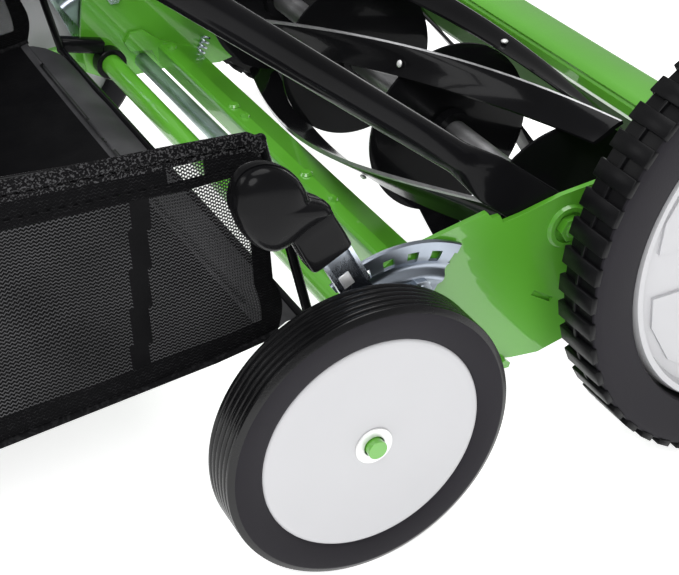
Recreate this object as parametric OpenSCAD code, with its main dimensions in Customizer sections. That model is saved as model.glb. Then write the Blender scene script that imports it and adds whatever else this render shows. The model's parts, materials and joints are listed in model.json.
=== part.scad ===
// Push reel mower: two geared drive wheels turn a five-blade reel against a bed knife.
// Lengths are millimetres. X points forward, Y to the mower's left, Z up, floor at z = 0.

/* [Cutting head] */
// Inside distance between the two side plates
cut_w = 418; // [400:2:440]
// Sheet thickness of the side plates
plate_t = 3; // [2:0.5:4]
// Outer radius of the reel
reel_r = 67; // [62:0.5:67]
// Twist of a blade from end to end, degrees
reel_twist = 109; // [60:1:120]
// Number of blades on the reel
blade_n = 5; // [5:1:5]

/* [Wheels] */
// Radius of the drive wheels
wheel_r = 127; // [124:0.5:130]
// Width of the drive tyres
wheel_w = 27.6; // [26:0.2:30]
// Raised bars round the drive tread
bar_n = 40; // [30:1:48]
// Radius of the rear wheels
rear_r = 76; // [72:0.5:80]
// Width of the rear wheels
rear_w = 25; // [22:0.5:26]

/* [Height crank] */
// Diameter of the cross tube
tube_d = 15; // [13:0.5:16]
// Length of the hand lever
lever_l = 103; // [94:1:110]

/* [Handle] */
// Rise of the handle above the floor plane, degrees
handle_a = 38.8; // [36:0.2:42]
// Length of the lower handle bars
low_l = 500; // [440:5:560]
// Length of the upper handle
up_l = 640; // [560:5:700]
// Handle tube diameter
bar_d = 16.5; // [15:0.5:18]

/* [Catcher] */
// Length of the grass catcher
bag_l = 385; // [340:5:420]
// Width of the grass catcher
bag_w = 396; // [380:2:396]

/* [Hidden] */
half = cut_w / 2;
plate_o = half + plate_t;
axle_z = wheel_r;
reel_x = -76;
reel_z = wheel_r - 12;
ring_n = 54;
pin_n = 9;
gear_c = sqrt(reel_x * reel_x + 144);
gear_m = 2 * gear_c / (ring_n - pin_n);
gear_a = atan2(reel_z - axle_z, reel_x);
tube_x = -199;
tube_z = 80;
rear_x = -238.6;
rear_z = rear_r;
wheel_y = 245;
rear_y = 235.5;
piv_x = -99;
piv_z = 140 - 8 * tan(handle_a);
bar_l = low_l + 8 / cos(handle_a);
hx = -cos(handle_a);
hz = sin(handle_a);
fold_x = piv_x + bar_l * hx;
fold_z = piv_z + bar_l * hz;
end_x = fold_x + up_l * hx;
end_z = fold_z + up_l * hz;
bar_y = 198;
up_y = bar_y + bar_d + 0.5;
wall = 1.5;
shift_x = -(wheel_r + end_x - 14.5) / 2;
green = [0.38, 0.78, 0.18];
black = [0.06, 0.06, 0.07];
zinc = [0.72, 0.75, 0.8];
steel = [0.62, 0.63, 0.65];
grey = [0.86, 0.86, 0.87];
mesh = [0.12, 0.12, 0.13];

// A profile drawn in x and z, drawn out along y from y0 to y1.
module xz(y0, y1) {
  translate([0, y1, 0])
    rotate([90, 0, 0])
      linear_extrude(y1 - y0)
        children();
}

// A round profile turned about an axis along y through x and z.
module turn(x, z) {
  translate([x, 0, z])
    rotate([-90, 0, 0])
      rotate_extrude($fn = 96)
        children();
}

// A bar of radius r along y.
module rod(x, z, r, y0, y1) {
  translate([x, y0, z])
    rotate([-90, 0, 0])
      cylinder(r = r, h = y1 - y0, $fn = 64);
}

// A hollow tube of radius r and length l along z.
module pipe(r, l) {
  difference() {
    cylinder(r = r, h = l, $fn = 64);
    translate([0, 0, 1]) cylinder(r = r - wall, h = l - 2, $fn = 48);
  }
}

// The parts are drawn on the left and mirrored to the right.
module side(s) {
  if (s > 0) children();
  else mirror([0, 1, 0]) children();
}

module place() {
  translate([shift_x, 0, 0]) children();
}

// Involute helpers for the gear pair.
function inv(a) = tan(a) - a * PI / 180;
function flank(r, rp, hp) =
  let (rb = rp * cos(20), c = min(1, rb / r))
  hp + (inv(20) - inv(acos(c))) * 180 / PI;
function tooth(n, rp, hp, radii) = [for (i = [0 : n - 1])
  each concat(
    [for (r = radii) r * [cos(360 * i / n - flank(r, rp, hp)), sin(360 * i / n - flank(r, rp, hp))]],
    [for (k = [len(radii) - 1 : -1 : 0]) radii[k] *
      [cos(360 * i / n + flank(radii[k], rp, hp)), sin(360 * i / n + flank(radii[k], rp, hp))]])];

module ring_space() {
  rp = ring_n * gear_m / 2;
  rotate(gear_a)
    polygon(tooth(ring_n, rp, 90 / ring_n + 0.16, [rp - 2.4, rp, rp + 2, rp + 3.9]));
}

module pinion_outline() {
  rp = pin_n * gear_m / 2;
  rotate(gear_a)
    polygon(tooth(pin_n, rp, 90 / pin_n - 1.4, [rp - 3.2, rp - 0.6, rp + 0.8, rp + 2.6]));
}

module plate_outline() {
  polygon([[-214, 72], [-216, 100], [-211, 138], [-199, 146], [-184, 148], [-149, 155],
    [-146, 151], [-141, 151], [-139, 146.5], [-128, 148], [-104, 153], [-60, 157],
    [34, 152], [52, 140], [56, 122], [40, 104], [0, 88], [-60, 66], [-94, 62],
    [-111, 58], [-128, 60], [-141, 63], [-196, 62]]);
}

module plate() {
  color(green) {
    difference() {
      xz(half, plate_o) plate_outline();
      rod(tube_x, tube_z, tube_d / 2 + 0.05, half - 1, plate_o + 1);
      rod(reel_x, reel_z, 14.02, half - 1, plate_o + 1);
      rod(0, axle_z, 6.02, half - 1, plate_o + 1);
      rod(-172, 73, 3.52, half - 1, plate_o + 1);
      rod(-177, 90, 3.55, half - 1, plate_o + 1);
      rod(piv_x, piv_z, 4.05, half - 1, plate_o + 1);
      rod(-190, 126, 3.02, half - 1, plate_o + 1);
      xz(half - 1, plate_o + 1)
        translate([-111.1, 93.9])
          rotate(-33)
            square([15, 3], center = true);
    }
    // raised boss round the handle pivot
    turn(piv_x, piv_z)
      polygon([[8.4, plate_o - 0.5], [12.6, plate_o - 0.5], [11.4, plate_o + 2], [9, plate_o + 2]]);
    // curled lug on the lower edge
    xz(plate_o - 0.2, plate_o + 4)
      polygon([[-138.6, 61], [-136, 57.6], [-132, 57.2], [-131, 60], [-134.4, 62.6]]);
  }
}

module shroud() {
  color(green)
    xz(-half, half)
      difference() {
        polygon([[-2, 139.4], [-2, 145], [-0.6, 146.6], [-1.6, 148], [1, 150.4], [6, 151.6],
          [24, 151.6], [28, 150], [30, 146], [30, 88]]);
        polygon([[0.6, 86], [0.6, 144], [2, 149], [24, 149], [27.4, 145.6], [27.4, 86]]);
      }
}

module tie_rod() {
  color(zinc) {
    rod(-172, 73, 5.5, -half, half);
    rod(-172, 73, 3.5, -plate_o - 7, plate_o + 7);
    for (s = [-1, 1]) side(s)
      translate([-172, plate_o, 73])
        rotate([-90, 0, 0])
          difference() {
            cylinder(r = 6.5, h = 5, $fn = 6);
            translate([0, 0, -1]) cylinder(r = 3.5, h = 7, $fn = 48);
          }
  }
}

function screw_y(k) = -17.5 + 107 * k;

module bed_bar() {
  color(green) {
    difference() {
      xz(-half + 3.2, half - 3.2)
        polygon([[-160, 69], [-160, 82], [-158.6, 83.6], [-150, 83], [-131, 75.4],
          [-132.4, 73.2], [-151, 80.2], [-157, 80.4], [-157, 69]]);
      for (k = [-1, 0, 1])
        translate([-152.4, screw_y(k), 70])
          cylinder(r = 2.52, h = 20, $fn = 32);
    }
    for (s = [-1, 1]) side(s) {
      xz(half - 3.2, half - 0.4)
        polygon([[-160, 69], [-146, 70.2], [-142, 79], [-150, 84], [-158, 87],
          [-170, 97], [-180, 97], [-185, 90], [-181, 82.4], [-165, 80.4]]);
      rod(-177, 90, 3.5, half - 0.6, plate_o + 2);
    }
  }
}

module bed_knife() {
  color(steel)
    difference() {
      xz(-half + 8.4, half - 8.4)
        polygon([[-156.4, 74.6], [-156.4, 76.8], [-140.4, 74.9], [-126.9, 70.5], [-128.6, 68.8],
          [-140.8, 72.6]]);
      for (k = [-1, 0, 1])
        translate([-152.4, screw_y(k), 60])
          cylinder(r = 2.52, h = 30, $fn = 32);
    }
}

module knife_screw(k) {
  color(zinc)
    translate([-152.4, screw_y(k), 0]) {
      translate([0, 0, 68]) cylinder(r = 2.5, h = 16, $fn = 32);
      translate([0, 0, 83.4]) cylinder(r1 = 4.4, r2 = 3, h = 1.8, $fn = 48);
      translate([0, 0, 70]) cylinder(r = 4.6, h = 3.4, $fn = 6);
    }
}

// Notched sector the height lever drops into.
module quadrant() {
  color(zinc)
    difference() {
      union() {
        xz(plate_o, plate_o + 2.5)
          difference() {
            translate([tube_x, tube_z])
              difference() {
                circle(r = 72, $fn = 128);
                polygon([[0, 0], [13, 36], [24, 66], [40, 90], [90, 90], [90, -90], [-90, -90],
                  [-90, 62], [-40, 62]]);
              }
          }
        xz(plate_o + 2, plate_o + 5)
          translate([tube_x, tube_z])
            difference() {
              circle(r = 58, $fn = 128);
              circle(r = 50, $fn = 128);
              polygon([[0, 0], [12, 36], [20, 60], [40, 90], [90, 90], [90, -90], [-90, -90],
                [-90, 62], [-38, 80]]);
            }
      }
      for (a = [75 : 12 : 111])
        translate([tube_x, plate_o + 1, tube_z])
          rotate([0, -a, 0])
            translate([66.4, 0, 0])
              cube([4.6, 12, 6.6], center = true);
      rod(-190, 126, 3.02, half, plate_o + 9);
      rod(-190, 126, 7.6, plate_o + 2.5, plate_o + 9);
      rod(tube_x, tube_z, tube_d / 2 + 4, half, plate_o + 9);
    }
}

module quadrant_bolt() {
  color(zinc) {
    rod(-190, 126, 3, half - 6, plate_o + 8.4);
    translate([-190, plate_o + 2.5, 126])
      rotate([-90, 0, 0]) {
        cylinder(r = 7.4, h = 1, $fn = 48);
        cylinder(r = 5.8, h = 5.4, $fn = 6);
      }
    translate([-190, half, 126])
      rotate([90, 0, 0])
        cylinder(r = 5.8, h = 3.6, $fn = 6);
  }
}

module axle() {
  color(zinc) {
    rod(0, axle_z, 6, half - 9, 270.5);
    translate([0, half, axle_z])
      rotate([90, 0, 0])
        cylinder(r = 10.5, h = 7, $fn = 6);
    turn(0, axle_z)
      polygon([[6, plate_o], [14, plate_o], [12, 221], [6, 221]]);
    turn(0, axle_z)
      polygon([[6, 271], [9, 271], [9, 272.4], [6, 272.4], [0, 272.4], [0, 270.4], [6, 270.4]]);
  }
}

module bearing() {
  color(steel)
    turn(reel_x, reel_z)
      polygon([[8.04, half - 3], [15.6, half - 3], [15.6, half], [14, half], [14, 219], [8.04, 219]]);
}

module reel_shaft() {
  color(steel)
    difference() {
      rod(reel_x, reel_z, 7.98, -241, 241);
      for (s = [-1, 1])
        turn(reel_x, reel_z)
          polygon([[7, s * 238.6], [9, s * 238.6], [9, s * 239.6], [7, s * 239.6]]);
    }
}

module spider(k) {
  y = -175.5 + 117 * (k - 1);
  color(black)
    difference() {
      turn(reel_x, reel_z)
        polygon([[8, y - 7], [13, y - 7], [14, y - 1.5], [50, y - 1.5], [52.8, y - 0.5],
          [52.8, y + 1], [14, y + 1.5], [13, y + 7], [8, y + 7]]);
      for (a = [0 : 72 : 359])
        translate([reel_x, y, reel_z])
          rotate([0, -a - 30 - 0.271 * (y + 200), 0])
            translate([36, 0, 0])
              rotate([90, 0, 0])
                cylinder(r = 3, h = 8, center = true, $fn = 32);
    }
}

module blade(k) {
  len_y = 401;
  a0 = 77 + 360 / blade_n * (k - 1) + reel_twist;
  color(black)
    translate([reel_x, len_y / 2, reel_z])
      rotate([90, 0, 0])
        linear_extrude(len_y, twist = reel_twist, slices = 30, convexity = 4)
          rotate(a0)
            polygon([[reel_r - 2.1, -1.1], [reel_r - 0.2, 1.1], [reel_r - 7, 8.6],
              [reel_r - 12.4, 15.4], [reel_r - 14, 13.8], [reel_r - 9, 6.6]]);
}

module pinion() {
  color(steel)
    difference() {
      xz(224, 238) translate([reel_x, reel_z]) pinion_outline();
      rod(reel_x, reel_z, 8, 223, 239);
    }
}

module wheel() {
  rr = ring_n * gear_m / 2 + 7;
  color(grey) {
    difference() {
      xz(224, 240) translate([0, axle_z]) circle(r = rr, $fn = 128);
      xz(223, 240.1) translate([0, axle_z]) ring_space();
    }
    difference() {
      turn(0, axle_z)
        polygon([[6.06, 222], [16, 222], [17, 256], [30, 258], [rr - 4, 258], [rr - 3, 240],
          [rr, 240], [rr, 252], [rr - 1, 264], [rr - 3, 270], [rr - 6, 270], [rr - 8, 264],
          [34, 264], [24, 270], [6.06, 270]]);
      for (a = [0 : 60 : 359])
        translate([0, 268, axle_z])
          rotate([0, a, 0])
            translate([0, 0, 58])
              rotate([90, 0, 0])
                cylinder(r = 3, h = 6, $fn = 32);
    }
    // raised fan-shaped panels
    for (a = [0 : 60 : 359])
      translate([0, 0, axle_z])
        rotate([0, a, 0])
          xz(263.8, 265.6)
            polygon([[-6, 36], [6, 36], [30, 78], [14, 85.5], [-14, 85.5], [-30, 78]]);
  }
}

function bars(n, r0, r1, off) = [for (i = [0 : n - 1])
  let (a = 360 / n * (i + off), w = 90 / n)
  each [[r1 * cos(a - w), r1 * sin(a - w)], [r1 * cos(a + w), r1 * sin(a + w)],
    [r0 * cos(a + w + 0.4), r0 * sin(a + w + 0.4)],
    [r0 * cos(a + 3 * w - 0.4), r0 * sin(a + 3 * w - 0.4)]]];

module tyre() {
  ri = ring_n * gear_m / 2 + 7;
  y1 = wheel_y + wheel_w;
  ym = wheel_y + wheel_w / 2;
  color(black) {
    turn(0, axle_z)
      polygon([[ri, wheel_y + 3], [ri + 4, wheel_y + 0.6], [wheel_r - 8, wheel_y],
        [wheel_r - 4.4, wheel_y + 1.4], [wheel_r - 4, ym - 2], [wheel_r - 0.6, ym - 1.6],
        [wheel_r - 0.6, ym + 1.6], [wheel_r - 4, ym + 2], [wheel_r - 4.4, y1 - 1.4],
        [wheel_r - 8, y1], [ri + 4, y1 - 0.6], [ri, y1 - 3]]);
    for (c = [0, 1])
      xz(c == 0 ? wheel_y + 1 : ym + 1, c == 0 ? ym - 1 : y1 - 1)
        translate([0, axle_z])
          difference() {
            polygon(bars(bar_n, wheel_r - 5.6, wheel_r, 0));
            circle(r = wheel_r - 7, $fn = 128);
          }
  }
}

module crank() {
  color(green) {
    difference() {
      rod(tube_x, tube_z, tube_d / 2, -228, 228);
      rod(tube_x, tube_z, tube_d / 2 - wall, -216, 216);
    }
    for (s = [-1, 1]) side(s) {
      difference() {
        xz(221, 226)
          hull_bar(tube_x, tube_z, rear_x, rear_z, 12);
        rod(tube_x, tube_z, tube_d / 2 - 0.1, 220, 227);
      }
      rod(rear_x, rear_z, 5, 224, 264.4);
    }
  }
}

// Flat link with round ends, in the x-z plane.
module hull_bar(x0, z0, x1, z1, r) {
  a = atan2(z1 - z0, x1 - x0);
  l = sqrt(pow(x1 - x0, 2) + pow(z1 - z0, 2));
  translate([x0, z0])
    rotate(a) {
      translate([0, -r]) square([l, 2 * r]);
      circle(r = r, $fn = 64);
      translate([l, 0]) circle(r = r, $fn = 64);
    }
}

lev_a = 117;

module lever() {
  color(zinc)
    translate([tube_x, 0, tube_z])
      rotate([0, -lev_a, 0]) {
        xz(228.2, 230.8)
          polygon([[-10, -10], [14, -10], [40, -8], [lever_l + 12, -7], [lever_l + 12, 7],
            [40, 8], [14, 10], [-10, 10]]);
        // folded flanges
        xz(230.8, 235) polygon([[78, -8], [lever_l + 10, -8], [lever_l + 10, -6], [78, -6]]);
        xz(230.8, 235) polygon([[78, 8], [lever_l + 10, 8], [lever_l + 10, 6], [78, 6]]);
        // tooth that drops into the notches
        xz(plate_o + 0.4, 228.6)
          polygon([[72.6, -2], [77, -2], [77, 2], [72.6, 2]]);
        rod(0, 0, 5.6, 228.02, 233);
      }
}

module knob() {
  color(black)
    translate([tube_x, 232, tube_z])
      rotate([0, -lev_a, 0]) {
        difference() {
          hull() {
            translate([lever_l - 3, 0, 0]) cube([2, 13, 21], center = true);
            translate([lever_l + 22, 0, 0]) cube([2, 14, 22], center = true);
          }
          translate([lever_l, 0.05, 0]) cube([26, 8, 17], center = true);
        }
        hull() {
          for (a = [0 : 45 : 315])
            translate([lever_l + 39.8 + 11 * cos(a), 1, 11.5 + 11 * sin(a)]) sphere(r = 10.4, $fn = 24);
          translate([lever_l + 24, 0, -7]) sphere(r = 4.4, $fn = 24);
        }
      }
}

module rear_disc() {
  color(grey)
    turn(rear_x, rear_z)
      polygon([[5.05, rear_y], [14, rear_y], [14, 250], [48, 250], [50, rear_y + 2], [57.9, rear_y + 1],
        [57.9, rear_y + rear_w - 2.6], [56, rear_y + rear_w - 1], [16, rear_y + rear_w - 0.7],
        [5.05, rear_y + rear_w - 0.7]]);
}

module rear_tyre() {
  y1 = rear_y + rear_w;
  g = rear_w / 6;
  color(black)
    turn(rear_x, rear_z)
      polygon(concat(
        [[58, rear_y + 1.5], [60, rear_y + 0.2], [70, rear_y], [rear_r - 1.4, rear_y + 1]],
        [for (k = [1 : 5]) each [[rear_r, rear_y + g * k - 1.7], [rear_r, rear_y + g * k - 0.7],
          [rear_r - 1.8, rear_y + g * k - 0.4], [rear_r - 1.8, rear_y + g * k + 0.4],
          [rear_r, rear_y + g * k + 0.7]]],
        [[rear_r - 1.4, y1 - 1], [71.4, y1], [60, y1 - 0.2], [58, y1 - 1.5]]));
}

module rear_washer() {
  y1 = rear_y + rear_w;
  color(zinc)
    turn(rear_x, rear_z)
      polygon([[5.02, y1 - 0.3], [9.4, y1 - 0.3], [9.4, y1 + 0.4], [6.6, y1 + 1.5], [5.02, y1 + 1.5]]);
}

// Return spring between the bed bar and the side plate.
module spring() {
  n = 6;
  color(zinc) {
    for (i = [0 : n])
      translate([-135.8 + 13.4 * i / n, 204.8, 54 + 28 * i / n])
        rotate([0, 25.6, 0])
          rotate_extrude($fn = 32)
            translate([2.9, 0])
              circle(r = 0.9, $fn = 12);
    translate([-140.3, 204.8, 51.2]) rotate([0, 25.6, 0]) cylinder(r = 0.8, h = 40, $fn = 12);
  }
}

module lower_bar() {
  color(black)
    translate([piv_x, 0, piv_z])
      rotate([0, -180 + handle_a, 0]) {
        difference() {
          union() {
            xz(205, 208.6) {
              circle(r = 12.4, $fn = 64);
              polygon([[0, -12.4], [54, -12.6], [54, 12.6], [0, 12.4]]);
            }
            hull() {
              translate([54, 206.8, 0]) cube([0.6, 3.6, 25.2], center = true);
              translate([76, bar_y, 0]) rotate([0, 90, 0])
                cylinder(r = bar_d / 2, h = 0.6, $fn = 32);
            }
            translate([76, bar_y, 0]) rotate([0, 90, 0])
              pipe(bar_d / 2, bar_l - 58);
          }
          rod(0, 0, 4.05, 190, 212);
          rod(bar_l, 0, 3.06, 180, 212);
        }
      }
}

module pivot_bolt() {
  color(zinc) {
    rod(piv_x, piv_z, 4, 202, plate_o + 6);
    translate([piv_x, plate_o, piv_z]) rotate([-90, 0, 0]) cylinder(r = 7, h = 5, $fn = 6);
    translate([piv_x, 204.4, piv_z]) rotate([90, 0, 0]) cylinder(r = 7, h = 3, $fn = 48);
  }
}

module upper_handle() {
  bend = 60;
  r = bar_d / 2;
  color(black)
    translate([fold_x, 0, fold_z])
      rotate([0, -180 + handle_a, 0]) {
        difference() {
          union() {
            for (s = [-1, 1]) side(s) {
              translate([-20, up_y, 0]) rotate([0, 90, 0])
                pipe(r, up_l - bend + 20);
              translate([up_l - bend, up_y - bend, 0])
                rotate_extrude(angle = 90, $fn = 96)
                  translate([bend, 0])
                    difference() {
                      circle(r = r, $fn = 64);
                      circle(r = r - wall, $fn = 48);
                    }
            }
            translate([up_l, -up_y + bend, 0]) rotate([-90, 0, 0])
              pipe(r, 2 * (up_y - bend));
          }
          rod(0, 0, 3.06, -240, 240);
        }
      }
}

module grip() {
  color(black)
    translate([end_x, 0, end_z])
      rotate([0, -180 + handle_a, 0])
        difference() {
          rod(0, 0, 14, -up_y + 62, up_y - 62);
          rod(0, 0, bar_d / 2, -up_y, up_y);
        }
}

module fold_knob() {
  color(black)
    translate([fold_x, 0, fold_z])
      rotate([0, -180 + handle_a, 0]) {
        rod(0, 0, 3, bar_y - bar_d / 2 - 6, up_y + bar_d / 2 + 4);
        translate([0, bar_y - bar_d / 2 - 1, 0]) rotate([90, 0, 0]) cylinder(r = 6, h = 4, $fn = 6);
        difference() {
          rod(0, 0, 17, up_y + bar_d / 2 + 0.6, up_y + bar_d / 2 + 14);
          for (a = [0 : 60 : 359])
            rotate([0, a, 0]) rod(19, 0, 6, up_y, up_y + 40);
        }
      }
}

module bag_side() {
  polygon([[-239.4, 97.4], [-263, 212], [-266, 216.6], [-258 - bag_l, 244], [-266 - bag_l, 240],
    [-262 - bag_l, 78], [-400, 83], [-300, 97], [-254, 101]]);
}

module catcher_bag() {
  w = bag_w / 2;
  color(mesh)
    difference() {
      xz(-w, w) bag_side();
      xz(-w + 3, w - 3)
        polygon([[-230, 97], [-230, 260], [-254 - bag_l, 260], [-261 - bag_l, 238],
          [-259 - bag_l, 81], [-400, 86], [-300, 100], [-253, 104], [-241, 100]]);
    }
}

// Wire that holds the mouth of the catcher open.
module catcher_frame() {
  w = bag_w / 2 - 6.2;
  r = 2.5;
  color(black) {
    rod(-236.4, 101, r, -w, w);
    for (s = [-1, 1]) side(s) {
      translate([-236.4, w, 101])
        rotate([0, -12.6, 0])
          cylinder(r = r, h = 115.6, $fn = 32);
      translate([-236.4, w, 101]) sphere(r = r + 0.3, $fn = 32);
      translate([-261.62, w, 213.82]) sphere(r = r + 0.3, $fn = 32);
      translate([-261.62, w, 213.82])
        rotate([0, -85.9, 0])
          cylinder(r = r, h = bag_l - 14, $fn = 32);
    }
  }
}

module hook() {
  color(black)
    difference() {
      union() {
        rod(tube_x, tube_z, 11, 196, 206.6);
        xz(197, 206) polygon([[-208, 84], [-206, 101], [-201, 103], [-190, 88], [-190, 82]]);
        xz(187, 206.4) polygon([[-238.3, 98], [-238.3, 104], [-234, 106], [-203, 104.4], [-200, 97],
          [-226, 92], [-235, 95.6]]);
      }
      rod(tube_x, tube_z, tube_d / 2 + 0.35, 170, 210);
      xz(170, 210)
        polygon([[tube_x, tube_z], [tube_x - 5, tube_z - 16], [tube_x + 12, tube_z - 16]]);
      rod(-236.4, 101, 2.6, 170, 210);
      translate([-236.4, bag_w / 2 - 6.2, 101]) {
        sphere(r = 3, $fn = 48);
        rotate([0, -12.6, 0]) cylinder(r = 2.7, h = 30, $fn = 48);
      }
    }
}

place() side(-1) plate();  // plate_right
place() side(1) plate();  // plate_left
place() shroud();
place() tie_rod();
place() bed_bar();
place() bed_knife();
place() knife_screw(-1);  // knife_screw_1
place() knife_screw(0);  // knife_screw_2
place() knife_screw(1);  // knife_screw_3
place() side(-1) quadrant();  // quadrant_right
place() side(1) quadrant();  // quadrant_left
place() side(-1) quadrant_bolt();  // quadrant_bolt_right
place() side(1) quadrant_bolt();  // quadrant_bolt_left
place() side(-1) axle();  // axle_right
place() side(1) axle();  // axle_left
place() side(-1) bearing();  // bearing_right
place() side(1) bearing();  // bearing_left
place() reel_shaft();
place() spider(1);  // spider_1
place() spider(2);  // spider_2
place() spider(3);  // spider_3
place() spider(4);  // spider_4
place() blade(1);  // blade_1
place() blade(2);  // blade_2
place() blade(3);  // blade_3
place() blade(4);  // blade_4
place() blade(5);  // blade_5
place() side(-1) pinion();  // pinion_right
place() side(1) pinion();  // pinion_left
place() side(-1) wheel();  // wheel_right
place() side(1) wheel();  // wheel_left
place() side(-1) tyre();  // tyre_right
place() side(1) tyre();  // tyre_left
place() crank();
place() side(-1) lever();  // lever_right
place() side(1) lever();  // lever_left
place() side(-1) knob();  // knob_right
place() side(1) knob();  // knob_left
place() side(-1) rear_disc();  // rear_disc_right
place() side(1) rear_disc();  // rear_disc_left
place() side(-1) rear_tyre();  // rear_tyre_right
place() side(1) rear_tyre();  // rear_tyre_left
place() side(-1) rear_washer();  // rear_washer_right
place() side(1) rear_washer();  // rear_washer_left
place() side(-1) spring();  // spring_right
place() side(1) spring();  // spring_left
place() side(-1) lower_bar();  // lower_bar_right
place() side(1) lower_bar();  // lower_bar_left
place() side(-1) pivot_bolt();  // pivot_bolt_right
place() side(1) pivot_bolt();  // pivot_bolt_left
place() upper_handle();
place() grip();
place() side(-1) fold_knob();  // fold_knob_right
place() side(1) fold_knob();  // fold_knob_left
place() catcher_bag();
place() catcher_frame();
place() side(-1) hook();  // hook_right
place() side(1) hook();  // hook_left
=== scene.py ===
"""Finish and studio for a push reel mower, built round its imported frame."""

import json
import math

import bmesh
import bpy
from mathutils import Matrix, Vector, noise


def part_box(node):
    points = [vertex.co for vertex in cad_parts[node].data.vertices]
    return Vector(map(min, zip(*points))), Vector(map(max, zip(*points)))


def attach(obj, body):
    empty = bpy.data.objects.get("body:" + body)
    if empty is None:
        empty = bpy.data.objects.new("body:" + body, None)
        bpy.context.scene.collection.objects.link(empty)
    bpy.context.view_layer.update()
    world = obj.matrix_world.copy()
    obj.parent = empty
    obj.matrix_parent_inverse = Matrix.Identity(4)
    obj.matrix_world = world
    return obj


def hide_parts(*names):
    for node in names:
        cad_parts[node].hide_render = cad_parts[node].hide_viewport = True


bl_info = {
    "name": "Reel Mower Finish",
    "version": (1, 0, 0),
    "blender": (4, 5, 0),
    "location": "View3D > Sidebar > Mower",
    "description": "Paint, rubber, cloth and studio for a push reel mower",
    "category": "Object",
}

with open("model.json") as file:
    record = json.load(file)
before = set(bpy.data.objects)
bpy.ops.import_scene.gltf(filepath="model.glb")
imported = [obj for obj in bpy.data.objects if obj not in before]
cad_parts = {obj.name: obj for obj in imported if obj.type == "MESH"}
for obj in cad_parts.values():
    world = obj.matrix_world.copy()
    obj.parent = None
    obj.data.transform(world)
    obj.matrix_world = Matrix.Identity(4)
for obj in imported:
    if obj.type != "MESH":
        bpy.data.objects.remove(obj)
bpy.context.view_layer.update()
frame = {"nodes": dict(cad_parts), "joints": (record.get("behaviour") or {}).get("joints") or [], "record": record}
NODES = frame["nodes"]
BODY_OF = {n: b for b, members in frame["record"]["behaviour"]["bodies"].items() for n in members}
SLOT_OF = {s["node"]: s["material_slot"] for s in frame["record"]["subparts"]}
PIVOT = {j["name"]: Vector(j["pos_m"]) for j in frame["joints"]}
DRIVE = PIVOT["drive_wheel_right_spin"]
REAR = PIVOT["rear_wheel_right_spin"]
REEL = PIVOT["reel_spin"]
CRANK = PIVOT["height_adjust"]
HANDLE = PIVOT["handle_tilt"]
FOLD = PIVOT["handle_fold"]
SIDES = (("right", -1.0), ("left", 1.0))


# ---------------------------------------------------------------- settings


class MowerSizes(bpy.types.PropertyGroup):
    bar_count: bpy.props.IntProperty(
        name="Tread bars", description="Raised bars round a drive tyre", default=50, min=24, max=60
    )
    mesh_pitch: bpy.props.FloatProperty(
        name="Mesh pitch", description="Spacing of the holes in the catcher cloth",
        default=0.0019, unit="LENGTH", min=0.0008, max=0.004, precision=5,
    )
    mesh_fold: bpy.props.FloatProperty(
        name="Cloth fold", description="How far the catcher walls bulge and crease",
        default=0.006, unit="LENGTH", min=0.0, max=0.01, precision=4,
    )
    stitch_gap: bpy.props.FloatProperty(
        name="Stitch gap", description="Spacing of the hem stitches",
        default=0.006, unit="LENGTH", min=0.003, max=0.02, precision=4,
    )
    spring_turns: bpy.props.IntProperty(
        name="Spring turns", description="Turns of wire in a return spring", default=8, min=5, max=20
    )


def paint(name, description, default):
    return bpy.props.FloatVectorProperty(
        name=name, description=description, default=default,
        subtype="COLOR", size=3, min=0.0, max=1.0,
    )


class MowerColours(bpy.types.PropertyGroup):
    green: paint("Frame paint", "Gloss paint of the pressed steel parts", (0.095, 0.36, 0.024))
    black: paint("Black paint", "Gloss paint of the reel and the handle", (0.004, 0.004, 0.0045))
    zinc: paint("Zinc plate", "Bright plated fittings", (0.60, 0.66, 0.74))
    rubber: paint("Rubber", "Moulded tyres", (0.003, 0.003, 0.0035))
    hub: paint("Hub plastic", "Moulded wheel discs", (0.475, 0.475, 0.49))
    cloth: paint("Catcher cloth", "Woven mesh of the catcher", (0.042, 0.042, 0.044))


def sizes():
    return bpy.context.scene.mower_sizes


def colours():
    return bpy.context.scene.mower_colours


# ---------------------------------------------------------------- shader expressions


class Value:
    """A number socket that can be written in an expression."""

    def __init__(self, finish, socket):
        self.finish, self.socket = finish, socket

    def _math(self, operation, first, second=None):
        inputs = {0: first} if second is None else {0: first, 1: second}
        return self.finish.out("ShaderNodeMath", {"operation": operation}, inputs)

    def __add__(self, other):
        return self._math("ADD", self, other)

    def __sub__(self, other):
        return self._math("SUBTRACT", self, other)

    def __rsub__(self, other):
        return self._math("SUBTRACT", other, self)

    def __mul__(self, other):
        return self._math("MULTIPLY", self, other)

    def __truediv__(self, other):
        return self._math("DIVIDE", self, other)

    __radd__ = __add__
    __rmul__ = __mul__

    def call(self, operation):
        return self._math(operation, self)

    def step(self, low, high):
        """0 below low, 1 above high, smooth between."""
        return self.finish.out(
            "ShaderNodeMapRange",
            {"interpolation_type": "SMOOTHSTEP"},
            {"Value": self, "From Min": low, "From Max": high},
        )


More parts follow.
